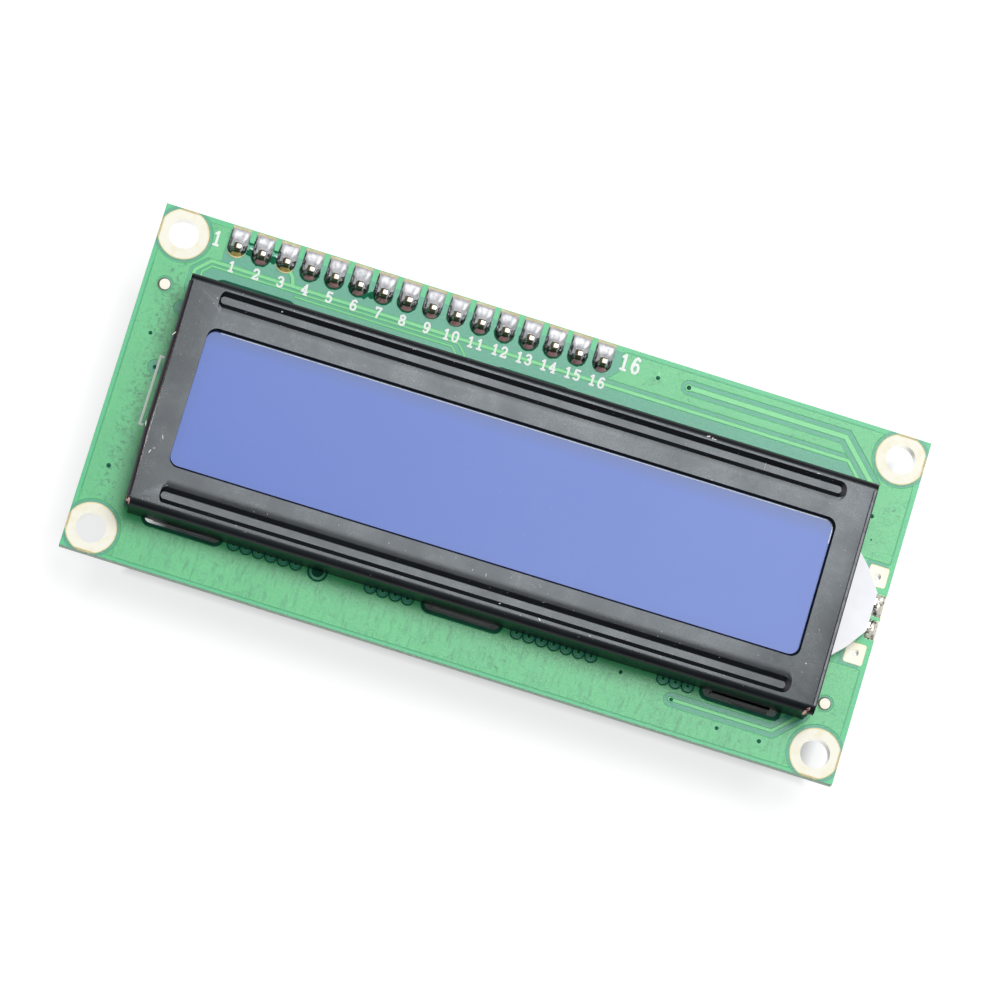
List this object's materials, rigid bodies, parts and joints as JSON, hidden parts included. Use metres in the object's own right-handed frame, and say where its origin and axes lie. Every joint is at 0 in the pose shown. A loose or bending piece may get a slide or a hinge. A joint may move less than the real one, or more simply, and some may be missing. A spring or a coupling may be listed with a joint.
{
  "type": "character lcd module",
  "caption": "Blue character LCD on a green circuit board, with a black folded bezel, plated corner holes and a soldered pin header.",
  "frame": {"origin": "centre of the four mounting holes at the board's rear face", "axes": "+X along the board away from pin 1, +Y towards the pin header's edge, +Z out of the display towards the reader"},
  "size_m": [0.08, 0.036, 0.0151],
  "materials": {
    "board": "glossy",
    "plating": "satin",
    "bezel": "satin",
    "display": "glossy",
    "film": "glossy",
    "glass": "glossy",
    "zebra": "matte",
    "backlight": "matte",
    "tinned": "glossy",
    "solder": "glossy",
    "header": "matte",
    "epoxy": "satin",
    "chip": "satin"
  },
  "bodies": {
    "root": {"circuit_board": "board", "hole_plating_1": "plating", "hole_plating_2": "plating", "hole_plating_3": "plating", "hole_plating_4": "plating", "bezel": "bezel", "front_polarizer": "display", "front_glass": "glass", "rear_glass": "glass", "rear_polarizer": "film", "zebra_strip_upper": "zebra", "zebra_strip_lower": "zebra", "light_guide": "backlight", "backlight_diffuser": "backlight", "backlight_reflector": "backlight", "led_housing": "backlight", "backlight_lead_1": "tinned", "backlight_lead_2": "tinned", "backlight_solder_1": "solder", "backlight_solder_2": "solder", "header_insulator": "header", "header_pin_01": "tinned", "header_pin_02": "tinned", "header_pin_03": "tinned", "header_pin_04": "tinned", "header_pin_05": "tinned", "header_pin_06": "tinned", "header_pin_07": "tinned", "header_pin_08": "tinned", "header_pin_09": "tinned", "header_pin_10": "tinned", "header_pin_11": "tinned", "header_pin_12": "tinned", "header_pin_13": "tinned", "header_pin_14": "tinned", "header_pin_15": "tinned", "header_pin_16": "tinned", "solder_joint_01": "solder", "solder_joint_02": "solder", "solder_joint_03": "solder", "solder_joint_04": "solder", "solder_joint_05": "solder", "solder_joint_06": "solder", "solder_joint_07": "solder", "solder_joint_08": "solder", "solder_joint_09": "solder", "solder_joint_10": "solder", "solder_joint_11": "solder", "solder_joint_12": "solder", "solder_joint_13": "solder", "solder_joint_14": "solder", "solder_joint_15": "solder", "solder_joint_16": "solder", "epoxy_dome_left": "epoxy", "epoxy_dome_right": "epoxy", "chip_part_1": "chip", "chip_part_2": "chip", "chip_part_3": "chip", "chip_part_4": "chip"}
  },
  "joints": []
}
